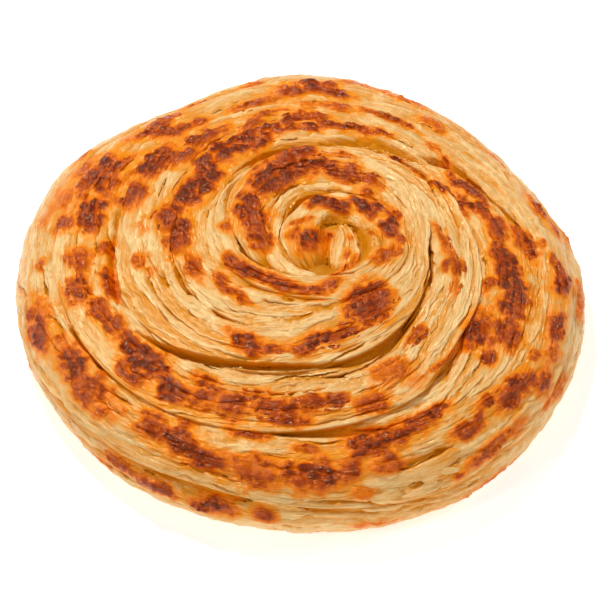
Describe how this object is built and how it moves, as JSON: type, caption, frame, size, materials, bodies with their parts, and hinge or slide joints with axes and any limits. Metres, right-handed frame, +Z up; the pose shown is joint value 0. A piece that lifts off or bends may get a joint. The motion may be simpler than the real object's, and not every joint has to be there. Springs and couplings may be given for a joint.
{
  "type": "layered paratha flatbread",
  "caption": "Round pan-fried flatbread, its pleated dough wound into a flat coil of flaky golden layers with dark blisters.",
  "frame": {"origin": "middle of the flat underside, under the centre of the bread's box", "axes": "+Z up through the bread's thickness; -Y towards the front, where the side shows its two belts of layers"},
  "size_m": [0.1726, 0.177, 0.029],
  "materials": {
    "crust": "flaky fried dough, pale cream to golden brown with dark blisters, thin oily sheen"
  },
  "bodies": {
    "root": {"paratha": "crust"}
  },
  "joints": []
}
